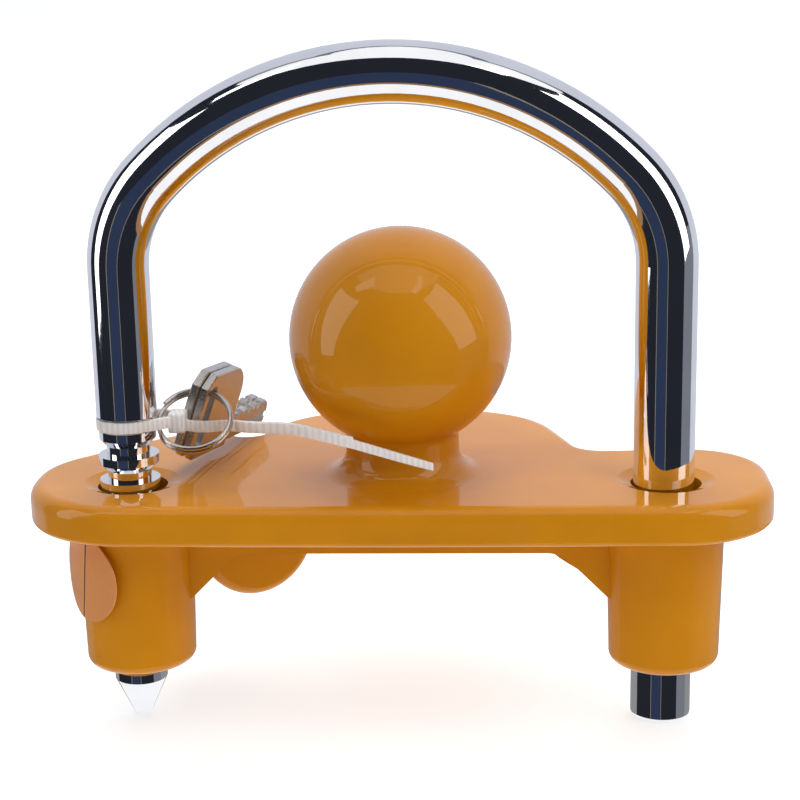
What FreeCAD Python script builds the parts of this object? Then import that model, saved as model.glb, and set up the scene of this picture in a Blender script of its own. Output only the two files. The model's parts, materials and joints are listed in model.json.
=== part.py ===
"""Trailer coupler lock: a cast ball plate, a ratchet shackle and the key lock that holds it.

Frame, in millimetres: origin at the centre of the coupler ball, +Z up out of the plate,
X along the line between the two shackle legs, -Y towards the straight front edge of the plate.
"""
import FreeCAD
import Part
import Sketcher

import math
import os

V = FreeCAD.Vector
UP = V(0, 0, 1)
KEY_CUTS = (1.5, 0.8, 1.9, 1.2, 1.6)

DIMENSIONS = {
    # casting
    "ball_radius": 23.4,
    "plate_top": -28.9,
    "plate_thickness": 8.0,
    "leg_plane": -7.65,
    "hole_mid": -0.8,
    "hole_spacing": 112.2,
    "hole_radius": 7.4,
    "recess_radius": 10.1,
    "recess_depth": 0.9,
    "half_length": 77.6,
    "front_edge": -20.8,
    "left_half": 79.1,
    "front_bow": 0.6,
    "front_bow_radius": 900.0,
    "front_corner": 21.0,
    "left_corner": 24.0,
    "left_shoulder": 13.4,
    "left_shoulder_round": 20.0,
    "end_lobe_back": 25.2,
    "lobe_corner": 16.0,
    "back_lobe": 59.0,
    "back_lobe_half": 27.8,
    "back_lobe_round": 25.0,
    "valley_x": 39.5,
    "valley_y": 23.4,
    "small_corner": 6.0,
    "square_in_x": 36.6,
    "square_in_y": 32.4,
    "square_back_x": 43.9,
    "square_back_y": 44.1,
    "square_out_x": 57.5,
    "square_out_y": 35.6,
    "rim_round": 3.0,
    "rim_round_below": 1.2,
    "neck_radius": 12.1,
    "neck_fillet": 5.0,
    "throat_fillet": 1.6,
    "boss_bottom": -68.8,
    "boss_radius_low": 11.6,
    "boss_radius_high": 12.5,
    "boss_round": 2.0,
    "rib_bottom": -44.3,
    "rib_thickness": 6.0,
    "rib_corner": 7.0,
    "rib_inner": 34.2,
    "gusset_bottom": -54.5,
    "fin_bottom": -52.8,
    "fin_reach": 33.0,
    "fin_angle": 155.0,
    # shackle
    "shackle_mid": -1.3,
    "rod_radius": 6.35,
    "leg_tip": -81.2,
    "corner_height": 16.6,
    "corner_radius": 26.7,
    "crown_radius": 67.7,
    "groove_radius": 5.3,
    "groove_top": -14.3,
    "tooth_top": -17.4,
    "tooth_pitch": 5.37,
    "tooth_band": 1.8,
    "tooth_cone": 1.55,
    "neck_of_tooth": 4.6,
    "cone_start": -73.0,
    "cone_big": 5.65,
    "cone_small": 1.9,
    "first_crest": 6.0,
    "tip_round": 0.7,
    # lock frame
    "lock_x": -31.6,
    "lock_y": 2.85,
    "lock_z": -45.2,
    "lock_turn": 32.0,
    "cup_radius": 13.3,
    "cup_wall": 2.6,
    "cup_round": 1.9,
    "barrel_radius": 12.2,
    "barrel_end": 31.0,
    "collar_radius": 14.6,
    "collar_start": 25.0,
    "chamber_radius": 9.0,
    "chamber_end": 10.6,
    "web_end": 12.2,
    "plug_radius": 5.9,
    "plug_bore": 6.0,
    "bolt_width": 4.0,
    "bolt_height": 7.0,
    "bolt_tip": 20.6,
    "bolt_tail": -4.4,
    "bolt_centre": 4.8,
    "cam_offset": 1.45,
    "cam_pin": 1.2,
    "cam_start": 7.2,
    "cam_thickness": 1.4,
    "catch_height": 4.55,
    "plug_neck": 3.0,
    "clip_at": 9.9,
    "rivet_radius": 1.0,
    "pin_radius": 1.25,
    "cross_pin": 1.2,
    "cross_pin_at": 27.0,
    "pin_pitch": 2.8,
    "first_pin": 15.4,
    "cover_radius": 7.6,
    "cover_thickness": 1.6,
    "rivet_offset": 9.4,
    "slide_gap": 0.15,
    "bridge_start": 8.0,
    "bridge_length": 12.0,
    "bridge_below": 5.5,
    "bridge_height": 14.5,
    "bridge_wall": 0.4,
    "cam_radius": 5.2,
    "cam_slot": 2.6,
    "cam_slot_height": 3.5,
    "catch_depth": 2.6,
    "bevel_turn": 42.0,
    "driver_length": 2.5,
    "driver_foot": 6.1,
    "pin_spring_foot": 8.8,
    "pin_spring_length": 1.5,
    "pin_spring_radius": 0.85,
    "pin_spring_wire": 0.16,
    "bolt_spring_radius": 1.45,
    "bolt_spring_wire": 0.28,
    "bolt_spring_length": 2.9,
    "clip_radius": 4.6,
    "clip_inner": 2.75,
    "clip_half": 0.35,
    "clip_mouth": 1.6,
    "cross_pin_length": 6.4,
    "hub_radius": 2.6,
    "rivet_head": 2.3,
    "rivet_dome": 3.0,
    "cover_round": 0.4,
    # ring, keys and tie
    "ring_x": -43.3,
    "ring_y": -6.4,
    "ring_z": -16.2,
    "ring_radius": 7.6,
    "ring_wire": 0.5,
    "ring_tilt": 37.0,
    "ring_start": 204.0,
    "key_height": 20.0,
    "key_width": 20.0,
    "key_thickness": 1.9,
    "key_gap": 0.3,
    "key_blade": 20.5,
    "key_blade_height": 6.6,
    "key_blade_low": 1.2,
    "key_corner_cut": 3.0,
    "key_back_round": 7.0,
    "key_slot_near": 1.7,
    "key_slot_far": 5.2,
    "key_slot_round": 1.6,
    "key_edge": 0.25,
    "key_groove_depth": 0.45,
    "key_groove_width": 1.4,
    "key_first_cut": 3.0,
    "key_cut_pitch": 2.8,
    "key_x": -47.9,
    "key_y": -3.6,
    "key_z": -25.6,
    "key_right": 0.27,
    "key_away": 0.955,
    "key_down": 0.072,
    "key_lean": 0.34,
    "tie_level": -15.9,
    "head_x": -46.9,
    "head_y": -6.85,
    "tail_knee_x": -36.8,
    "tail_knee_y": -2.2,
    "tail_turn_x": -14.0,
    "tail_turn_y": -23.5,
    "tail_knee_bend": 4.5,
    "tail_turn_bend": 14.0,
    "tail_end_x": 7.5,
    "tail_end_y": -25.4,
    "tail_low_x": -38.0,
    "tail_low_z": -18.1,
    "tail_high_x": -17.5,
    "tail_high_z": -14.9,
    "tail_fall_x": -2.5,
    "tail_fall_z": -17.8,
    "tail_end_z": -20.6,
    "strap_width": 2.3,
    "strap_thickness": 1.1,
    "tail_taper": 16.0,
    "tail_tip_width": 1.3,
    "sticker_radius": 9.6,
    "sticker_bend": 30.0,
    "sticker_turn": 48.0,
    "sticker_thickness": 0.3,
    "sticker_level": -47.6,
    "sticker_reach": 12.4,
}

doc = FreeCAD.newDocument("coupler_lock")
sheet = doc.addObject("Spreadsheet::Sheet", "Dimensions")
for row, (name, number) in enumerate(DIMENSIONS.items(), start=1):
    sheet.set("A%d" % row, name)
    sheet.set("B%d" % row, str(number))
    sheet.setAlias("B%d" % row, name)
doc.recompute()


def size(name):
    """A driving dimension, read back from the spreadsheet."""
    return float(sheet.get(name))


def bind(item, **formulas):
    """Bind properties of an object to spreadsheet cells; names in the formulas are the aliases."""
    for prop, formula in formulas.items():
        words = []
        for word in formula.replace("(", " ( ").replace(")", " ) ").split():
            words.append("Dimensions." + word if word in DIMENSIONS else word)
        item.setExpression(prop, " ".join(words))


# ---------------------------------------------------------------- frames

def lock_frame():
    """Origin at the middle of the housing's closed face, z along the lock, x towards the left leg."""
    turn = math.radians(90 + size("lock_turn"))
    along = V(math.cos(turn), math.sin(turn), 0)
    sideways = UP.cross(along)
    matrix = FreeCAD.Matrix(sideways.x, 0, along.x, size("lock_x"),
                            sideways.y, 0, along.y, size("lock_y"),
                            sideways.z, 1, along.z, size("lock_z"),
                            0, 0, 0, 1)
    return FreeCAD.Placement(matrix)


def leg_x(side):
    return size("shackle_mid") + side * size("hole_spacing") / 2


def hole_x(side):
    return size("hole_mid") + side * size("hole_spacing") / 2


# ---------------------------------------------------------------- helpers

def rounded_edges(corners, closed=True):
    """Line and arc edges of an outline given as (x, y, corner radius) in order."""
    points = [V(x, y, 0) for x, y, _ in corners]
    starts, ends, middles = [], [], []
    count = len(corners)
    for i, (_, _, radius) in enumerate(corners):
        corner = points[i]
        if radius == 0:
            starts.append(corner)
            ends.append(corner)
            middles.append(corner)
            continue
        back = (points[i - 1] - corner).normalize()
        ahead = (points[(i + 1) % count] - corner).normalize()
        half = back.getAngle(ahead) / 2
        reach = radius / math.tan(half)
        centre = corner + (back + ahead).normalize() * (radius / math.sin(half))
        starts.append(corner + back * reach)
        ends.append(corner + ahead * reach)
        middles.append(centre + (corner - centre).normalize() * radius)
    edges = []
    for i in range(count):
        if corners[i][2] > 0:
            edges.append(Part.Arc(starts[i], middles[i], ends[i]))
        if i == count - 1 and not closed:
            break
        following = starts[(i + 1) % count]
        if (following - ends[i]).Length > 1e-6:
            edges.append(Part.LineSegment(ends[i], following))
    return edges


def add_sketch(body, name, plane, edges, placement=None):
    """A sketch on one of the body's own origin planes, offset by a placement in that plane's frame."""
    sketch = body.newObject("Sketcher::SketchObject", name)
    support = [f for f in body.Origin.OriginFeatures if f.Role == plane][0]
    sketch.AttachmentSupport = [(support, "")]
    sketch.MapMode = "FlatFace"
    if placement:
        sketch.AttachmentOffset = placement
    sketch.addGeometry(edges, False)
    return sketch


def add_solid(body, kind, name, placement, **formulas):
    """A PartDesign primitive placed in the body, its sizes bound to the sheet."""
    item = body.newObject("PartDesign::" + kind, name)
    item.MapMode = "Deactivated"
    item.Placement = placement
    bind(item, **formulas)
    return item


def edges_where(shape, test):
    """Names of the edges whose middle point and length pass the test."""
    names = []
    for i, edge in enumerate(shape.Edges, start=1):
        middle = edge.valueAt((edge.FirstParameter + edge.LastParameter) / 2)
        if test(edge, middle):
            names.append("Edge%d" % i)
    return names


def add_fillet(body, name, test, radius):
    doc.recompute()
    base = body.Tip
    chosen = edges_where(base.Shape, test)
    fillet = body.newObject("PartDesign::Fillet", name)
    fillet.Base = (base, chosen)
    bind(fillet, Radius=radius)
    doc.recompute()
    return fillet


def new_body(name):
    body = doc.addObject("PartDesign::Body", name)
    body.Label = name
    return body


def new_feature(name, shape, placement=None):
    item = doc.addObject("Part::Feature", name)
    item.Label = name
    item.Shape = shape
    if placement:
        item.Placement = placement
    return item


def cylinder(radius, low, high, x=0.0, y=0.0, axis=UP):
    return Part.makeCylinder(radius, high - low, V(x, y, 0) + axis * low, axis)


def block(x0, x1, y0, y1, z0, z1):
    return Part.makeBox(x1 - x0, y1 - y0, z1 - z0, V(x0, y0, z0))


def at(x, y, z, rotation=None):
    return FreeCAD.Placement(V(x, y, z), rotation or FreeCAD.Rotation())


# ---------------------------------------------------------------- casting

def plate_outline():
    """Front edge, two end lobes, the round back lobe and the square lobe that covers the lock."""
    left = -size("left_half")
    right = size("half_length")
    front = size("front_edge")
    back = size("back_lobe")
    lobe = size("back_lobe_half")
    large = size("lobe_corner")
    small = size("small_corner")
    corners = [
        (left, front, size("left_corner")),
        (0, front - size("front_bow"), size("front_bow_radius")),
        (right, front, size("front_corner")),
        (right, size("end_lobe_back"), large),
        (size("valley_x"), size("valley_y"), small),
        (lobe, back, size("back_lobe_round")),
        (-lobe, back, size("back_lobe_round")),
        (-size("square_in_x"), size("square_in_y"), small / 2),
        (-size("square_back_x"), size("square_back_y"), small),
        (-size("square_out_x"), size("square_out_y"), large),
        (left, size("left_shoulder"), size("left_shoulder_round")),
    ]
    return [(x, y + size("leg_plane"), r) for x, y, r in corners]


def add_plate(body):
    flat = FreeCAD.Placement(V(0, 0, size("plate_top") - size("plate_thickness")), FreeCAD.Rotation())
    sketch = add_sketch(body, "plate_outline", "XY_Plane", rounded_edges(plate_outline()), flat)
    pad = body.newObject("PartDesign::Pad", "plate")
    pad.Profile = sketch
    bind(pad, Length="plate_thickness")
    top = size("plate_top")
    bottom = top - size("plate_thickness")
    add_fillet(body, "rim_top", lambda e, m: abs(m.z - top) < 0.01, "rim_round")
    add_fillet(body, "rim_bottom", lambda e, m: abs(m.z - bottom) < 0.01, "rim_round_below")


def add_ball(body):
    """Ball, neck and the concave foot of the neck, turned about the Z axis."""
    ball = size("ball_radius")
    neck = size("neck_radius")
    foot = size("neck_fillet")
    top = size("plate_top")
    throat = -math.sqrt(ball ** 2 - neck ** 2)
    corner = V(neck + foot, top + foot, 0)
    diagonal = foot * math.sqrt(0.5)
    edges = [
        Part.Arc(V(0, ball, 0), V(ball, 0, 0), V(neck, throat, 0)),
        Part.LineSegment(V(neck, throat, 0), V(neck, corner.y, 0)),
        Part.Arc(V(neck, corner.y, 0), corner + V(-diagonal, -diagonal, 0), V(corner.x, top, 0)),
        Part.LineSegment(V(corner.x, top, 0), V(corner.x, top - 1, 0)),
        Part.LineSegment(V(corner.x, top - 1, 0), V(0, top - 1, 0)),
        Part.LineSegment(V(0, top - 1, 0), V(0, ball, 0)),
    ]
    sketch = add_sketch(body, "ball_profile", "XZ_Plane", edges)
    turned = body.newObject("PartDesign::Revolution", "ball_and_neck")
    turned.Profile = sketch
    turned.ReferenceAxis = (sketch, ["V_Axis"])
    turned.Angle = 360

    def is_throat(edge, middle):
        return abs(middle.z - throat) < 0.01 and math.hypot(middle.x, middle.y) < ball
    add_fillet(body, "throat", is_throat, "throat_fillet")


def add_bosses(body):
    """One tapered boss under each end of the plate."""
    turn_over = FreeCAD.Rotation(V(1, 0, 0), 180)
    for side, name in ((-1, "left_boss"), (1, "right_boss")):
        place = at(hole_x(side), size("leg_plane"), size("plate_top") - 2, turn_over)
        add_solid(body, "AdditiveCone", name, place, Radius1="boss_radius_high",
                  Radius2="boss_radius_low", Height="plate_top - 2 - boss_bottom", Angle="360")
    low = size("boss_bottom")
    add_fillet(body, "boss_ends", lambda e, m: abs(m.z - low) < 0.01, "boss_round")


def rib_outline(inner, reach):
    """Cross rib seen from the front: level in the middle, running down into both bosses."""
    top = size("plate_top") - 3
    low = size("rib_bottom")
    foot = size("gusset_bottom")
    drop = low - foot
    corner = size("rib_corner")
    return [(-reach, top, 0), (-reach, foot, 0), (-inner - drop, foot, 0), (-inner, low, corner),
            (inner, low, corner), (inner + drop, foot, 0), (reach, foot, 0), (reach, top, 0)]


def add_ribs(body):
    """The cross rib in the plane of the legs, and the short fin from the right boss to the back."""
    middle = size("hole_mid")
    edges = rounded_edges(rib_outline(size("rib_inner"), size("hole_spacing") / 2 - 6))
    turned = FreeCAD.Placement(V(middle, 0, -size("leg_plane")), FreeCAD.Rotation())
    sketch = add_sketch(body, "rib_profile", "XZ_Plane", edges, turned)
    pad = body.newObject("PartDesign::Pad", "cross_rib")
    pad.Profile = sketch
    pad.Midplane = True
    bind(pad, Length="rib_thickness")
    doc.recompute()


def add_rear_fin(body):
    """Short fin under the plate, from the right boss diagonally towards the back."""
    top = size("plate_top") - 3
    low = size("fin_bottom")
    reach = size("fin_reach")
    corners = [(6, top, 0), (6, low, 0), (reach * 0.42, low, 9), (reach * 0.76, low + 5, 9), (reach, top, 0)]
    base = FreeCAD.Rotation(V(0, 1, 0), size("fin_angle"))
    place = FreeCAD.Placement(V(hole_x(1), 0, -size("leg_plane")), base)
    sketch = add_sketch(body, "fin_profile", "XZ_Plane", rounded_edges(corners), place)
    pad = body.newObject("PartDesign::Pad", "rear_fin")
    pad.Profile = sketch
    pad.Midplane = True
    bind(pad, Length="rib_thickness")
    doc.recompute()


def add_lock_housing(body):
    """Closed cup, key-end collar and the bridge that guides the bolt into the left boss."""
    frame = lock_frame()
    add_solid(body, "AdditiveCylinder", "cup", frame, Radius="cup_radius", Height="cup_wall", Angle="360")

    def is_cup_rim(edge, middle):
        inside = frame.inverse().multVec(middle)
        low_enough = middle.z < size("plate_top") - size("plate_thickness") - 0.2
        return abs(inside.z) < 0.05 and low_enough
    add_fillet(body, "cup_edge", is_cup_rim, "cup_round")
    add_solid(body, "AdditiveCylinder", "collar", frame * at(0, 0, size("collar_start")),
              Radius="collar_radius", Height="barrel_end - collar_start", Angle="360")
    corner = at(size("bridge_start"), -size("bridge_below"), size("bridge_wall"))
    add_solid(body, "AdditiveBox", "bolt_bridge", frame * corner, Length="bridge_length",
              Width="bridge_height", Height="bolt_centre * 2 - bridge_wall * 2")


def add_holes(body):
    """Leg holes with their dished recesses, the barrel seat, the bolt way and the pin hole."""
    frame = lock_frame()
    for side, name in ((-1, "left"), (1, "right")):
        x = hole_x(side)
        y = size("leg_plane")
        add_solid(body, "SubtractiveCylinder", name + "_leg_hole", at(x, y, size("boss_bottom") - 1),
                  Radius="hole_radius", Height="plate_top - boss_bottom + 2", Angle="360")
        dish = at(x, y, size("plate_top") - size("recess_depth"))
        add_solid(body, "SubtractiveCone", name + "_recess", dish,
                  Radius1="hole_radius", Radius2="recess_radius", Height="recess_depth", Angle="360")
    add_solid(body, "SubtractiveCylinder", "barrel_seat", frame * at(0, 0, size("cup_wall")),
              Radius="barrel_radius + 0.02", Height="barrel_end - cup_wall + 3", Angle="360")
    gap = size("slide_gap")
    low = size("bolt_centre") - size("bolt_width") / 2 - gap
    corner = at(size("bridge_start"), -size("bolt_height") / 2 - gap, low)
    add_solid(body, "SubtractiveBox", "bolt_way", frame * corner, Length="bridge_length + 2",
              Width="bolt_height + slide_gap * 2", Height="bolt_width + slide_gap * 2")
    add_solid(body, "SubtractiveCylinder", "pin_hole", frame * cross_pin_place(),
              Radius="cross_pin", Height="8", Angle="360")


def make_lock_body():
    body = new_body("lock_body")
    add_plate(body)
    add_ball(body)
    add_bosses(body)
    add_ribs(body)
    add_rear_fin(body)
    add_lock_housing(body)
    add_holes(body)
    doc.recompute()
    return body


# ---------------------------------------------------------------- shackle

def shackle_path():
    """Centre line from the foot of the right leg, over the crown, to the foot of the left leg."""
    half = size("hole_spacing") / 2
    middle = size("shackle_mid")
    corner = size("corner_radius")
    crown = size("crown_radius")
    height = size("corner_height")
    tip = size("leg_tip")
    across = half - corner
    turn = math.acos(across / (crown - corner))
    crown_z = height - (crown - corner) * math.sin(turn)

    def on_corner(side, angle):
        x = middle + side * (across + corner * math.cos(angle))
        return V(x, height + corner * math.sin(angle), 0)
    edges = []
    for side in (1, -1):
        foot = V(middle + side * half, tip, 0)
        knee = on_corner(side, 0)
        bend = Part.Arc(knee, on_corner(side, turn / 2), on_corner(side, turn))
        edges += [Part.LineSegment(foot, knee), bend]
    top = Part.Arc(on_corner(1, turn), V(middle, crown_z + crown, 0), on_corner(-1, turn))
    right_leg, right_bend, left_leg, left_bend = edges
    return [right_leg, right_bend, top, left_bend, left_leg]


def ratchet_outline():
    """What is turned away from the left leg: the tie groove, the saw teeth and the cone point."""
    rod = size("rod_radius")
    neck = size("neck_of_tooth")
    top = size("tooth_top")
    outside = rod + 1
    points = [(outside, size("groove_top")), (size("groove_radius"), size("groove_top")),
              (size("groove_radius"), top)]
    count = int((top - size("cone_start")) / size("tooth_pitch"))
    for k in range(count):
        crest = size("first_crest") if k == 0 else rod
        flat = top - k * size("tooth_pitch")
        band = flat - size("tooth_band")
        if k > 0:
            points.append((neck, flat))
        points += [(crest, flat), (crest, band), (neck, band - size("tooth_cone"))]
    last = top - count * size("tooth_pitch")
    tip = size("leg_tip")
    points += [(neck, last), (size("cone_big"), last), (size("cone_big"), size("cone_start")),
               (size("cone_small"), tip), (outside, tip)]
    return points


def make_shackle():
    body = new_body("shackle")
    leg_plane = size("leg_plane")
    face_on = FreeCAD.Placement(V(0, 0, -leg_plane), FreeCAD.Rotation())
    path = add_sketch(body, "centre_line", "XZ_Plane", shackle_path(), face_on)
    foot = FreeCAD.Placement(V(leg_x(1), leg_plane, size("leg_tip")), FreeCAD.Rotation())
    circle = Part.Circle(V(0, 0, 0), UP, size("rod_radius"))
    section = add_sketch(body, "section", "XY_Plane", [circle], foot)
    section.addConstraint(Sketcher.Constraint("Radius", 0, size("rod_radius")))
    section.setExpression("Constraints[0]", "Dimensions.rod_radius")
    pipe = body.newObject("PartDesign::AdditivePipe", "rod")
    pipe.Profile = section
    pipe.Spine = (path, [])
    doc.recompute()
    points = ratchet_outline()
    lines = []
    for i, (radius, height) in enumerate(points):
        following = points[(i + 1) % len(points)]
        lines.append(Part.LineSegment(V(radius, height, 0), V(following[0], following[1], 0)))
    axis = FreeCAD.Placement(V(leg_x(-1), 0, -leg_plane), FreeCAD.Rotation())
    profile = add_sketch(body, "ratchet_profile", "XZ_Plane", lines, axis)
    groove = body.newObject("PartDesign::Groove", "ratchet")
    groove.Profile = profile
    groove.ReferenceAxis = (profile, ["V_Axis"])
    groove.Angle = 360
    tip = size("leg_tip")
    add_fillet(body, "tip_edges", lambda e, m: abs(m.z - tip) < 0.01, "tip_round")
    return body


# ---------------------------------------------------------------- lock parts (in the lock frame)

def cross_pin_place():
    """The barrel's retaining pin lies across the collar, on the side away from the leg."""
    return at(-8, 0, size("cross_pin_at"), FreeCAD.Rotation(V(0, 1, 0), -90))


def pin_stations():
    return [size("first_pin") + i * size("pin_pitch") for i in range(5)]


def make_barrel():
    body = new_body("lock_barrel")
    start = size("cup_wall") + 0.1
    stand = FreeCAD.Rotation(V(1, 0, 0), -90)
    add_solid(body, "AdditiveCylinder", "barrel", at(0, 0, start),
              Radius="barrel_radius", Height="barrel_end - cup_wall - 0.1", Angle="360")
    add_solid(body, "SubtractiveCylinder", "bolt_chamber", at(0, 0, start - 1),
              Radius="chamber_radius", Height="chamber_end - cup_wall + 0.9", Angle="360")
    add_solid(body, "SubtractiveCylinder", "neck_hole", at(0, 0, 8),
              Radius="plug_neck + 0.1", Height="6", Angle="360")
    add_solid(body, "SubtractiveCylinder", "plug_hole", at(0, 0, size("web_end")),
              Radius="plug_bore", Height="barrel_end - web_end + 1", Angle="360")
    for i, station in enumerate(pin_stations()):
        add_solid(body, "SubtractiveCylinder", "pin_chamber_%d" % i, at(0, 3, station, stand),
                  Radius="pin_radius + 0.1", Height="8", Angle="360")
    add_solid(body, "SubtractiveBox", "strip_slot", at(-1.7, 10.6, size("first_pin") - 2),
              Length="3.4", Width="3", Height="pin_pitch * 4 + 4")
    add_solid(body, "SubtractiveBox", "bolt_window", at(7, -3.65, start - 1),
              Length="7", Width="bolt_height + 0.3", Height="bolt_width + 1.25")
    add_solid(body, "SubtractiveCylinder", "pin_hole", cross_pin_place(),
              Radius="cross_pin", Height="8", Angle="360")
    rivet_foot = at(-size("rivet_offset"), 0, size("barrel_end") - 2.4)
    add_solid(body, "SubtractiveCylinder", "rivet_hole", rivet_foot,
              Radius="rivet_radius", Height="4", Angle="360")
    body.Placement = lock_frame()
    return body


def make_plug():
    body = new_body("lock_plug")
    start = size("web_end") + 0.1
    stand = FreeCAD.Rotation(V(1, 0, 0), -90)
    add_solid(body, "AdditiveCylinder", "plug", at(0, 0, start),
              Radius="plug_radius", Height="barrel_end - web_end - 0.1", Angle="360")
    add_solid(body, "AdditiveCylinder", "neck", at(0, 0, size("cam_start") + 0.2),
              Radius="plug_neck", Height="web_end - cam_start", Angle="360")
    ring = body.newObject("PartDesign::SubtractiveTorus", "clip_groove")
    ring.MapMode = "Deactivated"
    ring.Placement = at(0, 0, size("clip_at"))
    bind(ring, Radius1="plug_neck + 0.1", Radius2="0.5")
    add_solid(body, "SubtractiveBox", "keyway", at(-0.95, -5.0, start + 2.5),
              Length="1.9", Width="7.5", Height="barrel_end - web_end")
    for i, station in enumerate(pin_stations()):
        add_solid(body, "SubtractiveCylinder", "key_pin_hole_%d" % i, at(0, 0, station, stand),
                  Radius="pin_radius + 0.05", Height="7", Angle="360")
    body.Placement = lock_frame()
    return body


def make_cam():
    """Disc pressed on the plug's neck; its eccentric pin drives the bolt."""
    body = new_body("eccentric_cam")
    reach = size("cam_offset") * math.sqrt(0.5)
    add_solid(body, "AdditiveCylinder", "disc", at(0, 0, size("cam_start")),
              Radius="cam_radius", Height="cam_thickness", Angle="360")
    add_solid(body, "AdditiveCylinder", "drive_pin", at(-reach, reach, 3.2),
              Radius="cam_pin", Height="cam_start - 3.0", Angle="360")
    add_solid(body, "SubtractiveCylinder", "neck_seat", at(0, 0, size("cam_start") + 0.2),
              Radius="plug_neck", Height="cam_thickness", Angle="360")
    body.Placement = lock_frame()
    return body


def make_bolt():
    """Square bolt: a slot for the cam pin, a flat catch face below and a bevel above its tip."""
    body = new_body("locking_bolt")
    tip = size("bolt_tip")
    low = size("bolt_centre") - size("bolt_width") / 2
    reach = size("cam_offset") * math.sqrt(0.5)
    add_solid(body, "AdditiveBox", "bar", at(size("bolt_tail"), -size("bolt_height") / 2, low),
              Length="bolt_tip - bolt_tail", Width="bolt_height", Height="bolt_width")
    add_solid(body, "SubtractiveBox", "catch_face",
              at(tip - size("catch_depth"), -size("bolt_height"), low - 1),
              Length="4", Width="bolt_height + catch_height", Height="bolt_width + 2")
    add_solid(body, "SubtractiveBox", "cam_slot", at(-reach - size("cam_slot") / 2, -0.6, low - 1),
              Length="cam_slot", Width="cam_slot_height", Height="bolt_width + 2")
    bevel = at(tip - size("catch_depth") / 2, size("bolt_height") / 2, low - 1,
               FreeCAD.Rotation(UP, -size("bevel_turn")))
    add_solid(body, "SubtractiveBox", "bevel", bevel, Length="4", Width="3", Height="bolt_width + 2")
    body.Placement = lock_frame()
    return body


def coil(radius, wire, height, turns, placement):
    """Helical spring about the placement's Z axis, starting at its origin."""
    steps = int(turns * 24)
    points = []
    for i in range(steps + 1):
        angle = 2 * math.pi * turns * i / steps
        along = V(radius * math.cos(angle), radius * math.sin(angle), height * i / steps)
        points.append(placement.multVec(along))
    curve = Part.BSplineCurve()
    curve.interpolate(points)
    path = curve.toShape()
    section = Part.Wire(Part.makeCircle(wire, points[0], path.tangentAt(path.FirstParameter)))
    return Part.Wire(path).makePipeShell([section], True, True)


def make_small_lock_parts():
    frame = lock_frame()
    across = FreeCAD.Rotation(V(0, 1, 0), -90)
    stand = FreeCAD.Rotation(V(1, 0, 0), -90)
    pin = size("pin_radius")
    drivers, keys, springs = [], [], []
    for i, station in enumerate(pin_stations()):
        drivers.append(Part.makeCylinder(pin, size("driver_length"), V(0, size("driver_foot"), station),
                                         V(0, 1, 0)))
        foot = 0.9 + 0.35 * ((i * 2) % 5)
        keys.append(Part.makeCylinder(pin, 5.7 - foot, V(0, foot, station), V(0, 1, 0)))
        seat = at(0, size("pin_spring_foot"), station, stand)
        springs.append(coil(size("pin_spring_radius"), size("pin_spring_wire"), size("pin_spring_length"),
                            4, seat))
    new_feature("driver_pins", Part.makeCompound(drivers), frame)
    new_feature("key_pins", Part.makeCompound(keys), frame)
    new_feature("pin_springs", Part.makeCompound(springs), frame)
    first, last = pin_stations()[0], pin_stations()[-1]
    strip = block(-1.6, 1.6, 10.65, 13, first - 1.9, last + 1.9)
    new_feature("spring_cover", strip.common(cylinder(size("barrel_radius") - 0.1, 0, 40)), frame)
    length = size("cross_pin_length")
    tube = Part.makeCylinder(size("cross_pin"), length).cut(Part.makeCylinder(size("cross_pin") / 2, length))
    slit = block(0, 2, -0.2, 0.2, 0, length)
    new_feature("barrel_pin", tube.cut(slit), frame * cross_pin_place())
    clip_at = size("clip_at")
    half = size("clip_half")
    mouth = size("clip_mouth")
    clip = cylinder(size("clip_radius"), clip_at - half, clip_at + half)
    clip = clip.cut(cylinder(size("clip_inner"), clip_at - 1, clip_at + 1))
    clip = clip.cut(block(0, 6, -mouth, mouth, clip_at - 1, clip_at + 1))
    new_feature("plug_clip", clip, frame)
    seat = at(size("bolt_tail") - 0.35, -1.6, size("bolt_centre"), across)
    spring = coil(size("bolt_spring_radius"), size("bolt_spring_wire"), size("bolt_spring_length"), 4, seat)
    new_feature("bolt_spring", spring, frame)


def make_cover():
    """Dust cover: a leaf that swings on a rivet, and the domed rivet itself."""
    frame = lock_frame()
    low = size("barrel_end") + 0.15
    high = low + size("cover_thickness")
    radius = size("cover_radius")
    offset = size("rivet_offset")
    hub = size("hub_radius")
    lean = math.asin((radius - hub) / offset)
    corners = []
    for side in (1, -1):
        corners.append([V(radius * math.sin(lean) * -1, side * radius * math.cos(lean), low),
                        V(-offset - hub * math.sin(lean), side * hub * math.cos(lean), low)])
    ring = [corners[0][0], corners[0][1], corners[1][1], corners[1][0], corners[0][0]]
    leaf = Part.Face(Part.makePolygon(ring)).extrude(V(0, 0, high - low))
    leaf = leaf.fuse([cylinder(radius, low, high), cylinder(hub, low, high, -offset)]).removeSplitter()
    leaf = leaf.makeFillet(size("cover_round"), [e for e in leaf.Edges if e.BoundBox.ZMin > high - 0.01])
    tab = block(radius - 2.6, radius - 1.2, -3, 3, high - 0.3, high + 0.8)
    eye = cylinder(size("rivet_radius") + 0.05, low - 1, high + 1, -offset)
    leaf = leaf.fuse(tab).cut(eye).removeSplitter()
    new_feature("dust_cover", leaf, frame)
    rivet = cylinder(size("rivet_radius"), low - 2.4, high + 0.6, -offset)
    head = Part.makeSphere(size("rivet_dome"), V(-offset, 0, high - 1.9))
    head = head.common(cylinder(size("rivet_head"), high + 0.1, high + 2, -offset))
    new_feature("cover_rivet", rivet.fuse(head).removeSplitter(), frame)


# ---------------------------------------------------------------- ring, keys, tie and sticker

def ring_frame():
    tilt = FreeCAD.Rotation(V(1, 0, 0), size("ring_tilt"))
    return at(size("ring_x"), size("ring_y"), size("ring_z"), tilt)


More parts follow.
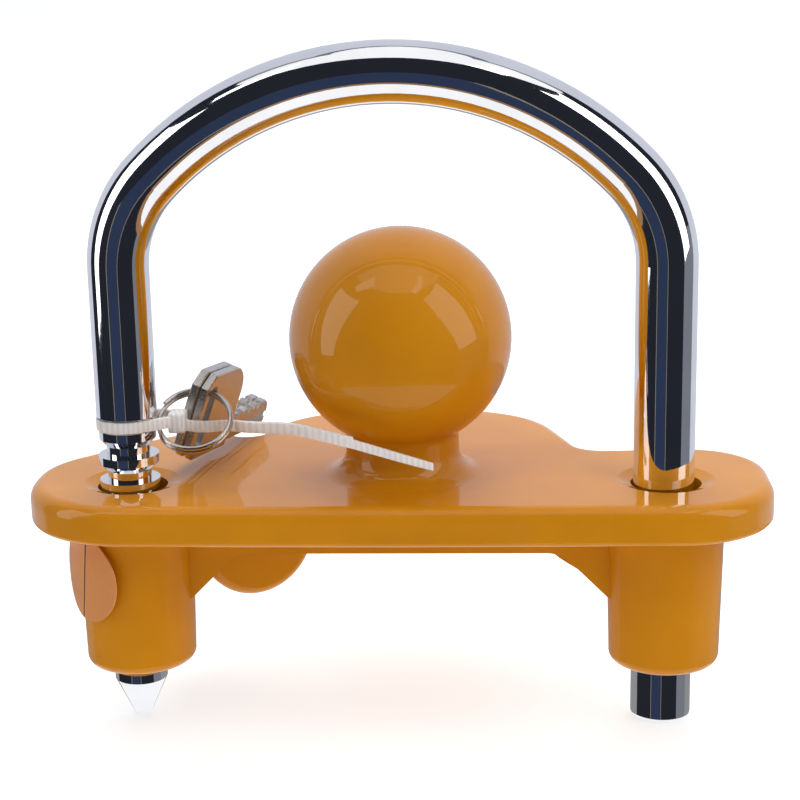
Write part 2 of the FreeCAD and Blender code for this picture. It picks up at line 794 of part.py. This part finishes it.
def make_ring():
    wire = size("ring_wire")
    rise = 2 * wire + 0.06
    turns = 1.85
    place = at(0, 0, -rise * turns / 2, FreeCAD.Rotation(UP, size("ring_start")))
    ring = coil(size("ring_radius"), wire, rise * turns, turns, ring_frame() * place)
    new_feature("key_ring", ring)


def key_frame():
    """x along the blade, y up the bow, z out of the face, at the bow's lower outer corner."""
    blade = V(size("key_right"), size("key_away"), -size("key_down")).normalize()
    up = V(size("key_lean"), 0, 1 - size("key_lean") ** 2 / 2)
    up = (up - blade * up.dot(blade)).normalize()
    face = blade.cross(up)
    corner = V(size("key_x"), size("key_y"), size("key_z"))
    return FreeCAD.Placement(FreeCAD.Matrix(blade.x, up.x, face.x, corner.x, blade.y, up.y, face.y, corner.y,
                                            blade.z, up.z, face.z, corner.z, 0, 0, 0, 1))


def key_shape():
    """One flat key: an eight-sided bow with a long slot, and a short cut blade."""
    height = size("key_height")
    width = size("key_width")
    thick = size("key_thickness")
    low = size("key_blade_low")
    high = low + size("key_blade_height")
    end = width + size("key_blade")
    cut = size("key_corner_cut")
    bow = [(cut, 0, 0), (width, 0, 1.0), (width, low, 0), (end, low, 1.5), (end, high, 3),
           (width, high, 0.8), (width, height, size("key_back_round")), (cut, height, 0),
           (0, height - cut, 0), (0, cut, 0)]
    outline = Part.Wire([e.toShape() for e in rounded_edges(bow)])
    key = Part.Face(outline).extrude(V(0, 0, thick))
    rims = [e for e in key.Edges if e.BoundBox.ZMax - e.BoundBox.ZMin < 0.01]
    key = key.makeChamfer(size("key_edge"), rims)
    near = size("key_slot_near")
    far = size("key_slot_far")
    turn = size("key_slot_round")
    slot_end = height - cut + 0.3
    slot = Part.Wire([e.toShape() for e in rounded_edges(
        [(near, cut, turn), (far, cut, turn), (far, slot_end, turn), (near, slot_end, turn)])])
    key = key.cut(Part.Face(slot).extrude(V(0, 0, thick)))
    deep = size("key_groove_depth")
    groove = low + 2.0
    wide = size("key_groove_width")
    for face_z in (deep - 1, thick - deep):
        key = key.cut(block(width - 1, end + 1, groove, groove + wide, face_z, face_z + 1))
    for i, depth in enumerate(KEY_CUTS):
        x = width + size("key_first_cut") + size("key_cut_pitch") * i
        notch = [V(x - 1.6, high + 0.6, 0), V(x - 0.4, high - depth, 0), V(x + 0.4, high - depth, 0),
                 V(x + 1.6, high + 0.6, 0), V(x - 1.6, high + 0.6, 0)]
        key = key.cut(Part.Face(Part.makePolygon(notch)).extrude(V(0, 0, thick)))
    return key


def make_keys():
    gap = size("key_gap") / 2
    thick = size("key_thickness")
    for name, lift in (("key_1", -gap - thick), ("key_2", gap)):
        new_feature(name, key_shape(), key_frame() * at(0, 0, lift))


def strap_face(inner_edges, thickness):
    wire = Part.Wire(inner_edges)
    return wire.makeOffset2D(thickness, 0, True, True)


def make_tie():
    """Cable tie: loop in the leg's groove, locking head inside the ring, and the free tail."""
    thick = size("strap_thickness")
    width = size("strap_width")
    level = size("tie_level")
    centre = V(leg_x(-1), size("leg_plane"), 0)
    radius = size("groove_radius") + 0.05
    head = V(size("head_x"), size("head_y"), level - 0.4)
    ends = [V(head.x - 1.5, head.y - 1.1, 0), V(head.x - 1.5, head.y + 1.9, 0)]
    touch = []
    for side, end in ((-1, ends[0]), (1, ends[1])):
        reach = end - centre
        angle = math.atan2(reach.y, reach.x) + side * math.acos(radius / reach.Length)
        touch.append(centre + V(math.cos(angle), math.sin(angle), 0) * radius)
    far = centre + V(-radius, 0, 0)
    slack = touch[1] * 0.45 + ends[1] * 0.55 + V(0.5, 1.3, 0)
    loop = [Part.makeLine(ends[0], touch[0]), Part.Arc(touch[0], far, touch[1]).toShape(),
            Part.Arc(touch[1], slack, ends[1]).toShape()]
    band = strap_face(loop, -thick).extrude(V(0, 0, width))
    band.translate(V(0, 0, level - width / 2))
    body = block(head.x - 1.8, head.x + 1.8, head.y - 1.7, head.y + 2.9, head.z - 2.15, head.z + 2.15)
    body = body.makeFillet(0.5, body.Edges)
    plan = [(head.x + 1.0, head.y, 0),
            (size("tail_knee_x"), size("tail_knee_y"), size("tail_knee_bend")),
            (size("tail_turn_x"), size("tail_turn_y"), size("tail_turn_bend")),
            (size("tail_end_x"), size("tail_end_y"), 0)]
    path = [edge.toShape() for edge in rounded_edges(plan, closed=False)]
    wall = strap_face(path, thick * 0.75).extrude(V(0, 0, 40))
    wall.translate(V(0, 0, level - 30))
    drape = Part.BSplineCurve()
    drape.interpolate([V(head.x, 0, head.z), V(size("tail_low_x"), 0, size("tail_low_z")),
                       V(size("tail_high_x"), 0, size("tail_high_z")),
                       V(size("tail_fall_x"), 0, size("tail_fall_z")),
                       V(size("tail_end_x") + 1, 0, size("tail_end_z"))])
    edge = drape.toShape()
    edge.translate(V(0, -30, -width / 2))
    tail = wall.common(edge.extrude(V(0, 0, width)).extrude(V(0, 60, 0)))
    tip = V(size("tail_end_x"), -30, size("tail_end_z") + width / 2)
    shoulder = V(tip.x - size("tail_taper"), -30, size("tail_fall_z") + width)
    narrow = tip - V(0, 0, width - size("tail_tip_width"))
    shave = Part.Face(Part.makePolygon([shoulder, shoulder + V(0, 0, 9), tip + V(2, 0, 9),
                                        narrow + V(2, 0, -0.2), shoulder]))
    tail = tail.cut(shave.extrude(V(0, 60, 0)))
    tie = band.fuse([body, tail])
    new_feature("cable_tie", tie.Solids[0] if len(tie.Solids) == 1 else tie)


def make_sticker():
    """A round label that only touches the left boss along its middle, flatter than the boss."""
    bend = size("sticker_bend")
    turn = math.radians(-90 - size("sticker_turn"))
    out = V(math.cos(turn), math.sin(turn), 0)
    boss = V(hole_x(-1), size("leg_plane"), 0)
    axis_point = boss + out * (size("sticker_reach") - bend)
    level = size("sticker_level")
    thick = size("sticker_thickness")
    skin = Part.makeCylinder(bend + thick, 40, axis_point + V(0, 0, level - 20), UP)
    skin = skin.cut(Part.makeCylinder(bend, 40, axis_point + V(0, 0, level - 20), UP))
    punch = Part.makeCylinder(size("sticker_radius"), 20, boss + V(0, 0, level) + out * 5, out)
    new_feature("inspection_sticker", skin.common(punch))


# ---------------------------------------------------------------- build

ASSEMBLY = [make_lock_body, make_shackle, make_barrel, make_plug, make_cam, make_bolt,
            make_small_lock_parts, make_cover, make_ring, make_keys, make_tie, make_sticker]
for make in ASSEMBLY:
    make()
doc.recompute()

problems = [f"{item.Label}: {item.State}" for item in doc.Objects
            if "Invalid" in item.State or "Error" in item.State]
subparts = [item for item in doc.RootObjects if item.TypeId != "Spreadsheet::Sheet"]
for item in subparts:
    if item.Shape.isNull() or not item.Shape.isValid():
        problems.append(item.Label + ": shape not valid")
if problems:
    raise SystemExit("\n".join(problems))

os.makedirs("parts", exist_ok=True)
for item in subparts:
    box = item.Shape.BoundBox
    print(f"{item.Label:20s} solids {len(item.Shape.Solids)}  volume {item.Shape.Volume:10.1f}  "
          f"z {box.ZMin:.1f} to {box.ZMax:.1f}")
    item.Shape.exportStep(f"parts/{item.Label}.step")
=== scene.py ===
"""Looks of the trailer coupler lock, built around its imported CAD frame."""

import json
import math

import bpy
from mathutils import Matrix, Vector


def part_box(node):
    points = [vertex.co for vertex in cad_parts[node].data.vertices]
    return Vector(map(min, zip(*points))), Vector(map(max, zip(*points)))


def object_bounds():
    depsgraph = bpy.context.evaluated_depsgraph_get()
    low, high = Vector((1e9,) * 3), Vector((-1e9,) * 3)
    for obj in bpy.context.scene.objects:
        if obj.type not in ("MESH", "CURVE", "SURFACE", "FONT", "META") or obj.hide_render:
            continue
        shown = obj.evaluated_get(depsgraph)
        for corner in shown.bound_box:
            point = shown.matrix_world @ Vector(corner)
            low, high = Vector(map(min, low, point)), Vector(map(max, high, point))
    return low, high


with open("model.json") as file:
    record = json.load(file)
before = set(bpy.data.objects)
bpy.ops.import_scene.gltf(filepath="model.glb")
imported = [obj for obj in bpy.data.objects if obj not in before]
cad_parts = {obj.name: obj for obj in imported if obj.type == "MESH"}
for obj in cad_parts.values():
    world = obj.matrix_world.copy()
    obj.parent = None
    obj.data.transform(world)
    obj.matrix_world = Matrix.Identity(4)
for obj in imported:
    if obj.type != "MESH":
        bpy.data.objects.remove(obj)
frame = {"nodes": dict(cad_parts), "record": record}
NODES = frame["nodes"]
CAD_BOX = [list(corner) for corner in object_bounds()]
MM = 0.001


# ---------------------------------------------------------------- node helpers

def new_material(name, **values):
    """A Principled material; every value is set straight on the shader's own socket."""
    material = bpy.data.materials.new(name)
    material.use_nodes = True
    shader = material.node_tree.nodes["Principled BSDF"]
    for socket, value in values.items():
        shader.inputs[socket.replace("_", " ")].default_value = value
    return material


def link(material, source, target):
    material.node_tree.links.new(source, target)


def shader_of(material):
    return material.node_tree.nodes["Principled BSDF"]


def noise(material, scale, detail=3.0, stretch=None, roughness=0.5):
    """Noise in the piece's own coordinates, in metres; returns its factor socket."""
    nodes = material.node_tree.nodes
    where = nodes.new("ShaderNodeTexCoord").outputs["Object"]
    if stretch:
        mapping = nodes.new("ShaderNodeMapping")
        mapping.inputs["Scale"].default_value = stretch
        link(material, where, mapping.inputs["Vector"])
        where = mapping.outputs["Vector"]
    texture = nodes.new("ShaderNodeTexNoise")
    texture.inputs["Scale"].default_value = scale
    texture.inputs["Detail"].default_value = detail
    texture.inputs["Roughness"].default_value = roughness
    link(material, where, texture.inputs["Vector"])
    return texture.outputs["Fac"]


def ramp(material, factor, *stops):
    """A colour ramp over a factor; each stop is (position, colour)."""
    node = material.node_tree.nodes.new("ShaderNodeValToRGB")
    elements = node.color_ramp.elements
    while len(elements) < len(stops):
        elements.new(0.5)
    for element, (position, colour) in zip(elements, stops):
        element.position = position
        element.color = (*colour, 1.0)
    link(material, factor, node.inputs["Fac"])
    return node.outputs["Color"]


def bump(material, height, distance, strength=1.0, before=None):
    node = material.node_tree.nodes.new("ShaderNodeBump")
    node.inputs["Strength"].default_value = strength
    node.inputs["Distance"].default_value = distance
    link(material, height, node.inputs["Height"])
    if before:
        link(material, before, node.inputs["Normal"])
    return node.outputs["Normal"]


def drive(material, socket, source):
    link(material, source, shader_of(material).inputs[socket])


# ---------------------------------------------------------------- materials

def paint_material():
    """Glossy amber coat over a casting: faint orange peel on slow waves, and a slowly varying tone."""
    amber = (0.66, 0.252, 0.002)
    deep = (0.59, 0.218, 0.001)
    material = new_material("amber_coat", Roughness=0.55, Specular_IOR_Level=0.1, Coat_Weight=1.0,
                            Coat_Roughness=0.02, Coat_IOR=1.33)
    drive(material, "Base Color", ramp(material, noise(material, 55), (0.3, deep), (0.7, amber)))
    waves = bump(material, noise(material, 60, 1.0), 0.00012)
    peel = bump(material, noise(material, 900, 2.0), 0.000008, before=waves)
    drive(material, "Normal", peel)
    drive(material, "Coat Normal", waves)
    return material


def metal_material(name, colour, roughness, grain, depth, stretch=None):
    """Metal with a slightly uneven tone and roughness; grain is the noise scale of its surface."""
    material = new_material(name, Metallic=1.0)
    shade = tuple(c * 0.93 for c in colour)
    drive(material, "Base Color", ramp(material, noise(material, grain * 0.3), (0.35, shade), (0.65, colour)))
    smooth = (roughness * 0.8,) * 3
    dull = (roughness * 1.25,) * 3
    rough = ramp(material, noise(material, grain * 0.5), (0.3, smooth), (0.7, dull))
    drive(material, "Roughness", rough)
    drive(material, "Normal", bump(material, noise(material, grain, stretch=stretch), depth))
    return material


def stripes(material, direction, period):
    """A sine wave across a direction, one crest each period in metres; returns its factor."""
    nodes = material.node_tree.nodes
    where = nodes.new("ShaderNodeTexCoord").outputs["Object"]
    along = nodes.new("ShaderNodeVectorMath")
    along.operation = "DOT_PRODUCT"
    along.inputs[1].default_value = direction
    link(material, where, along.inputs[0])
    turns = nodes.new("ShaderNodeMath")
    turns.operation = "MULTIPLY"
    turns.inputs[1].default_value = 2 * math.pi / period
    link(material, along.outputs["Value"], turns.inputs[0])
    wave = nodes.new("ShaderNodeMath")
    wave.operation = "SINE"
    link(material, turns.outputs[0], wave.inputs[0])
    lift = nodes.new("ShaderNodeMath")
    lift.operation = "MULTIPLY_ADD"
    lift.inputs[1].default_value = 0.5
    lift.inputs[2].default_value = 0.5
    link(material, wave.outputs[0], lift.inputs[0])
    return lift.outputs[0]


def nylon_material():
    """Natural nylon, slightly see-through, with the strap's fine cross ribs and painted shade that darkens
    the colour in the rib grooves.
    """
    nylon = new_material("natural_nylon", Roughness=0.36, Subsurface_Weight=0.7, Subsurface_Scale=0.002,
                         Subsurface_Radius=(1.0, 0.92, 0.85))
    across_ribs = (1.0, 0.35, 0.0)
    rib_pitch = 1.1 * MM
    rib_height_and_groove_shade = stripes(nylon, across_ribs, rib_pitch)
    # Painted shade: the rib wave that drives the bump also darkens the colour from 0.93 to 0.80 towards the
    # rib grooves.
    drive(nylon, "Base Color", ramp(nylon, rib_height_and_groove_shade, (0.15, (0.80, 0.77, 0.76)), (0.75, (0.93, 0.91, 0.90))))
    drive(nylon, "Normal", bump(nylon, rib_height_and_groove_shade, 0.0001))
    return nylon


def label_material():
    """Orange printed paper with one thin dark dividing line, upright across its middle."""
    label = new_material("orange_label", Roughness=0.42, Coat_Weight=0.3)
    nodes = label.node_tree.nodes
    where = nodes.new("ShaderNodeTexCoord").outputs["Object"]
    across = nodes.new("ShaderNodeVectorMath")
    across.operation = "DOT_PRODUCT"
    turn = math.radians(42)
    lean = math.radians(9)
    shift = 0.6 * MM
    reach = 2 * MM
    middle = label_centre()
    direction = Vector((math.cos(turn) * math.cos(lean), -math.sin(turn) * math.cos(lean), -math.sin(lean)))
    across.inputs[1].default_value = direction
    link(label, where, across.inputs[0])
    offset = nodes.new("ShaderNodeMath")
    offset.operation = "SUBTRACT"
    offset.inputs[1].default_value = middle.dot(direction) - shift
    link(label, across.outputs["Value"], offset.inputs[0])
    apart = nodes.new("ShaderNodeMath")
    apart.operation = "ABSOLUTE"
    link(label, offset.outputs[0], apart.inputs[0])
    scaled = nodes.new("ShaderNodeMath")
    scaled.operation = "MULTIPLY"
    scaled.inputs[1].default_value = 1 / reach
    link(label, apart.outputs[0], scaled.inputs[0])
    line = ramp(label, scaled.outputs[0], (0.08, (0.03, 0.02, 0.02)), (0.14, (0.76, 0.28, 0.06)))
    paper = ramp(label, noise(label, 120), (0.3, (0.88, 0.88, 0.88)), (0.7, (1.0, 1.0, 1.0)))
    mix = nodes.new("ShaderNodeMix")
    mix.data_type = "RGBA"
    mix.blend_type = "MULTIPLY"
    mix.inputs["Factor"].default_value = 1.0
    link(label, line, mix.inputs["A"])
    link(label, paper, mix.inputs["B"])
    drive(label, "Base Color", mix.outputs["Result"])
    drive(label, "Normal", bump(label, noise(label, 90), 0.00015))
    return label


def label_centre():
    """Middle of the label's CAD box."""
    low, high = (Vector(corner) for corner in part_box("inspection_sticker"))
    return (low + high) / 2


def make_materials():
    """One finish for each slot of the record."""
    nylon = nylon_material()
    label = label_material()
    rubber = new_material("black_rubber", Base_Color=(0.025, 0.025, 0.027, 1.0))
    drive(rubber, "Roughness", ramp(rubber, noise(rubber, 400), (0.3, (0.5,) * 3), (0.7, (0.68,) * 3)))
    return {
        "paint": paint_material(),
        "chrome": metal_material("mirror_chrome", (0.86, 0.87, 0.90), 0.045, 260, 0.000006),
        "zinc": metal_material("satin_zinc", (0.72, 0.72, 0.73), 0.24, 1200, 0.00001),
        "spring": metal_material("spring_wire", (0.55, 0.55, 0.56), 0.25, 2000, 0.00001),
        "brass": metal_material("turned_brass", (0.80, 0.58, 0.25), 0.22, 1500, 0.00001),
        "nickel": metal_material("brushed_nickel", (0.60, 0.57, 0.54), 0.2, 1500, 0.00004, (1, 1, 12)),
        "nylon": nylon,
        "label": label,
        "rubber": rubber,
    }


def dress_frame(materials):
    """Each CAD node takes the finish of its slot."""
    for part in frame["record"]["subparts"]:
        node = NODES[part["node"]]
        node.data.materials.clear()
        node.data.materials.append(materials[part["material_slot"]])


# ---------------------------------------------------------------- studio

def emission(name, colour, strength):
    material = bpy.data.materials.new(name)
    material.use_nodes = True
    nodes = material.node_tree.nodes
    nodes.clear()
    shine = nodes.new("ShaderNodeEmission")
    shine.inputs["Color"].default_value = (*colour, 1.0)
    shine.inputs["Strength"].default_value = strength
    out = nodes.new("ShaderNodeOutputMaterial")
    material.node_tree.links.new(shine.outputs["Emission"], out.inputs["Surface"])
    return material


def new_mesh(name, points, faces, material):
    mesh = bpy.data.meshes.new(name)
    mesh.from_pydata(points, [], faces)
    mesh.update()
    item = bpy.data.objects.new(name, mesh)
    bpy.context.scene.collection.objects.link(item)
    mesh.materials.append(material)
    return item


def reflected_only(item):
    """A studio card that shows in reflections but neither lights nor shades the object."""
    item.visible_camera = False
    item.visible_diffuse = False
    item.visible_shadow = False
    item.visible_transmission = False
    item.visible_volume_scatter = False


def on_dome(azimuth, elevation, radius):
    """Point seen from the object at an azimuth from the front and an elevation, in degrees."""
    a = math.radians(azimuth)
    e = math.radians(elevation)
    return Vector((math.sin(a) * math.cos(e), -math.cos(a) * math.cos(e), math.sin(e))) * radius


def dome_card(name, corners, radius, material, steps=24):
    """A four-sided piece of a sphere round the object; corners are (azimuth, elevation) pairs."""
    (a0, e0), (a1, e1), (a2, e2), (a3, e3) = corners
    points, faces = [], []
    for i in range(steps + 1):
        u = i / steps
        for j in range(steps + 1):
            v = j / steps
            azimuth = (1 - v) * ((1 - u) * a0 + u * a1) + v * ((1 - u) * a3 + u * a2)
            elevation = (1 - v) * ((1 - u) * e0 + u * e1) + v * ((1 - u) * e3 + u * e2)
            points.append(on_dome(azimuth, elevation, radius))
    row = steps + 1
    for i in range(steps):
        for j in range(steps):
            faces.append((i * row + j, (i + 1) * row + j, (i + 1) * row + j + 1, i * row + j + 1))
    card = new_mesh(name, points, faces, material)
    reflected_only(card)


def band(azimuths, elevations):
    """Corners of a card between two azimuths and two elevations."""
    (a0, a1), (e0, e1) = azimuths, elevations
    return [(a0, e0), (a1, e0), (a1, e1), (a0, e1)]


def make_room():
    """What shiny surfaces see: a dark room in front, soft boxes, and white above and behind."""
    night = emission("dark_room", (0.018, 0.020, 0.028), 1.0)
    navy = emission("navy_cloth", (0.028, 0.042, 0.085), 1.0)
    line = emission("pale_edge", (0.30, 0.27, 0.20), 1.0)
    grey = emission("grey_wall", (0.20, 0.21, 0.24), 1.0)
    tan = emission("table_edge", (0.36, 0.20, 0.09), 1.0)
    lamp = emission("soft_box", (1.0, 0.99, 0.97), 2.8)
    white = emission("white_room", (1.0, 1.0, 1.0), 1.1)
    lavender = emission("pale_wall", (0.66, 0.68, 0.76), 1.0)
    left, right, behind = -106, 62, 104
    horizon, ceiling = 6, 57
    table_top, table_foot = -31, -37
    strip_low, strip_high = 72, 76
    low_front = (table_top, horizon)
    dome_card("room_front", band((left, behind), (horizon, ceiling)), 0.90, night)
    dome_card("room_low", band((left, right), low_front), 0.90, night)
    dome_card("navy_low", band((-36, 2), low_front), 0.88, navy)
    dome_card("edge_left", band((-38, -36), low_front), 0.87, line)
    dome_card("edge_right", band((2, 3.5), low_front), 0.87, line)
    dome_card("grey_side", band((right, behind), low_front), 0.90, grey)
    dome_card("table_front", band((left, behind), (table_foot, table_top)), 0.90, tan)
    dome_card("box_right", [(64, -6), (86, -1), (73, 57), (37, 47)], 0.80, lamp)
    dome_card("box_left", [(-83, -11), (-68, -10), (-52, 42), (-90, 42)], 0.80, lamp)
    dome_card("box_small_left", [(-73, 51), (-64, 48), (-45, 60), (-63, 68)], 0.80, lamp)
    dome_card("box_small_right", [(21, 58), (31, 54), (65, 68), (59, 71)], 0.80, lamp)
    dome_card("wall_behind", band((behind, 360 + left), (-20, strip_low)), 0.95, lavender)
    dome_card("wall_line", band((90, 270), (strip_low, strip_high)), 0.94, grey)
    dome_card("white_above", band((-90, 90), (ceiling, 90)), 0.95, white)
    dome_card("white_over", band((90, 270), (strip_high, 90)), 0.95, white)
    dome_card("white_below", band((-180, 180), (-90, table_foot)), 0.95, white)


def make_floor():
    """Pale floor that widens behind the object and runs up into a white wall."""
    low = CAD_BOX[0][2] - 0.0002
    front = -0.23
    half = 0.26
    flat_end = 0.9
    far = 1.6
    wide = 2.4
    bend = 0.5
    pale = bpy.data.materials.new("pale_floor")
    pale.use_nodes = True
    shader = shader_of(pale)
    shader.inputs["Base Color"].default_value = (0.62, 0.62, 0.62, 1.0)
    shader.inputs["Roughness"].default_value = 0.7
    shader.inputs["Emission Color"].default_value = (0.94, 0.98, 1.0, 1.0)
    shader.inputs["Emission Strength"].default_value = 0.6
    points = [(-half, front, low), (half, front, low), (half, 0.10, low), (-half, 0.10, low),
              (wide, flat_end, low), (-wide, flat_end, low)]
    faces = [(0, 1, 2, 3), (3, 2, 4, 5)]
    last = (5, 4)
    steps = 16
    for i in range(1, steps + 1):
        turn = math.pi / 2 * i / steps
        y = flat_end + bend * math.sin(turn)
        z = low + bend * (1 - math.cos(turn))
        points += [(-wide, y, z), (wide, y, z)]
        here = (len(points) - 2, len(points) - 1)
        faces.append((last[0], last[1], here[1], here[0]))
        last = here
    points += [(-wide, flat_end + bend, low + far), (wide, flat_end + bend, low + far)]
    faces.append((last[0], last[1], len(points) - 1, len(points) - 2))
    floor = new_mesh("floor", points, faces, pale)
    for polygon in floor.data.polygons:
        polygon.use_smooth = True
    floor.visible_glossy = False


def area_light(name, azimuth, elevation, distance, size, power, colour=(1, 1, 1)):
    data = bpy.data.lights.new(name, "AREA")
    data.shape = "RECTANGLE"
    data.size = size[0]
    data.size_y = size[1]
    data.energy = power
    data.color = colour
    light = bpy.data.objects.new(name, data)
    light.location = on_dome(azimuth, elevation, distance)
    light.rotation_mode = "QUATERNION"
    light.rotation_quaternion = (-light.location).to_track_quat("-Z", "Y")
    bpy.context.scene.collection.objects.link(light)
    light.visible_glossy = False


def make_lights():
    """Even white surroundings and four soft area lights."""
    world = bpy.data.worlds.new("studio")
    world.use_nodes = True
    backdrop = world.node_tree.nodes["Background"]
    backdrop.inputs["Color"].default_value = (1.0, 1.0, 1.0, 1.0)
    backdrop.inputs["Strength"].default_value = 0.30
    bpy.context.scene.world = world
    area_light("key_left", -55, 40, 0.9, (0.5, 0.5), 0.9)
    area_light("key_right", 62, 35, 0.9, (0.5, 0.5), 2.6)
    area_light("overhead", 0, 88, 0.9, (0.7, 0.7), 3.2)
    area_light("behind", 175, 50, 1.0, (0.8, 0.5), 5.0)


def make_camera():
    """Seen from slightly right of the front and above; the ball's centre is the origin."""
    place = Vector((20.845, -377.774, 83.863)) * MM
    yaw, pitch, roll = (math.radians(angle) for angle in (3.21, 14.45, -1.15))
    back = Vector((math.sin(yaw) * math.cos(pitch), -math.cos(yaw) * math.cos(pitch), math.sin(pitch)))
    level = Vector((0, 0, 1)).cross(back).normalized()
    upright = back.cross(level)
    right = level * math.cos(roll) + upright * math.sin(roll)
    up = upright * math.cos(roll) - level * math.sin(roll)
    data = bpy.data.cameras.new("camera")
    data.sensor_width = 36.0
    data.lens = 82.9
    data.clip_start = 0.01
    data.clip_end = 20.0
    camera = bpy.data.objects.new("camera", data)
    camera.matrix_world = Matrix((right, up, back)).transposed().to_4x4()
    camera.location = place
    bpy.context.scene.collection.objects.link(camera)
    bpy.context.scene.camera = camera


MATERIALS = make_materials()
dress_frame(MATERIALS)
make_room()
make_floor()
make_lights()
make_camera()
bpy.context.scene.view_settings.view_transform = "Standard"
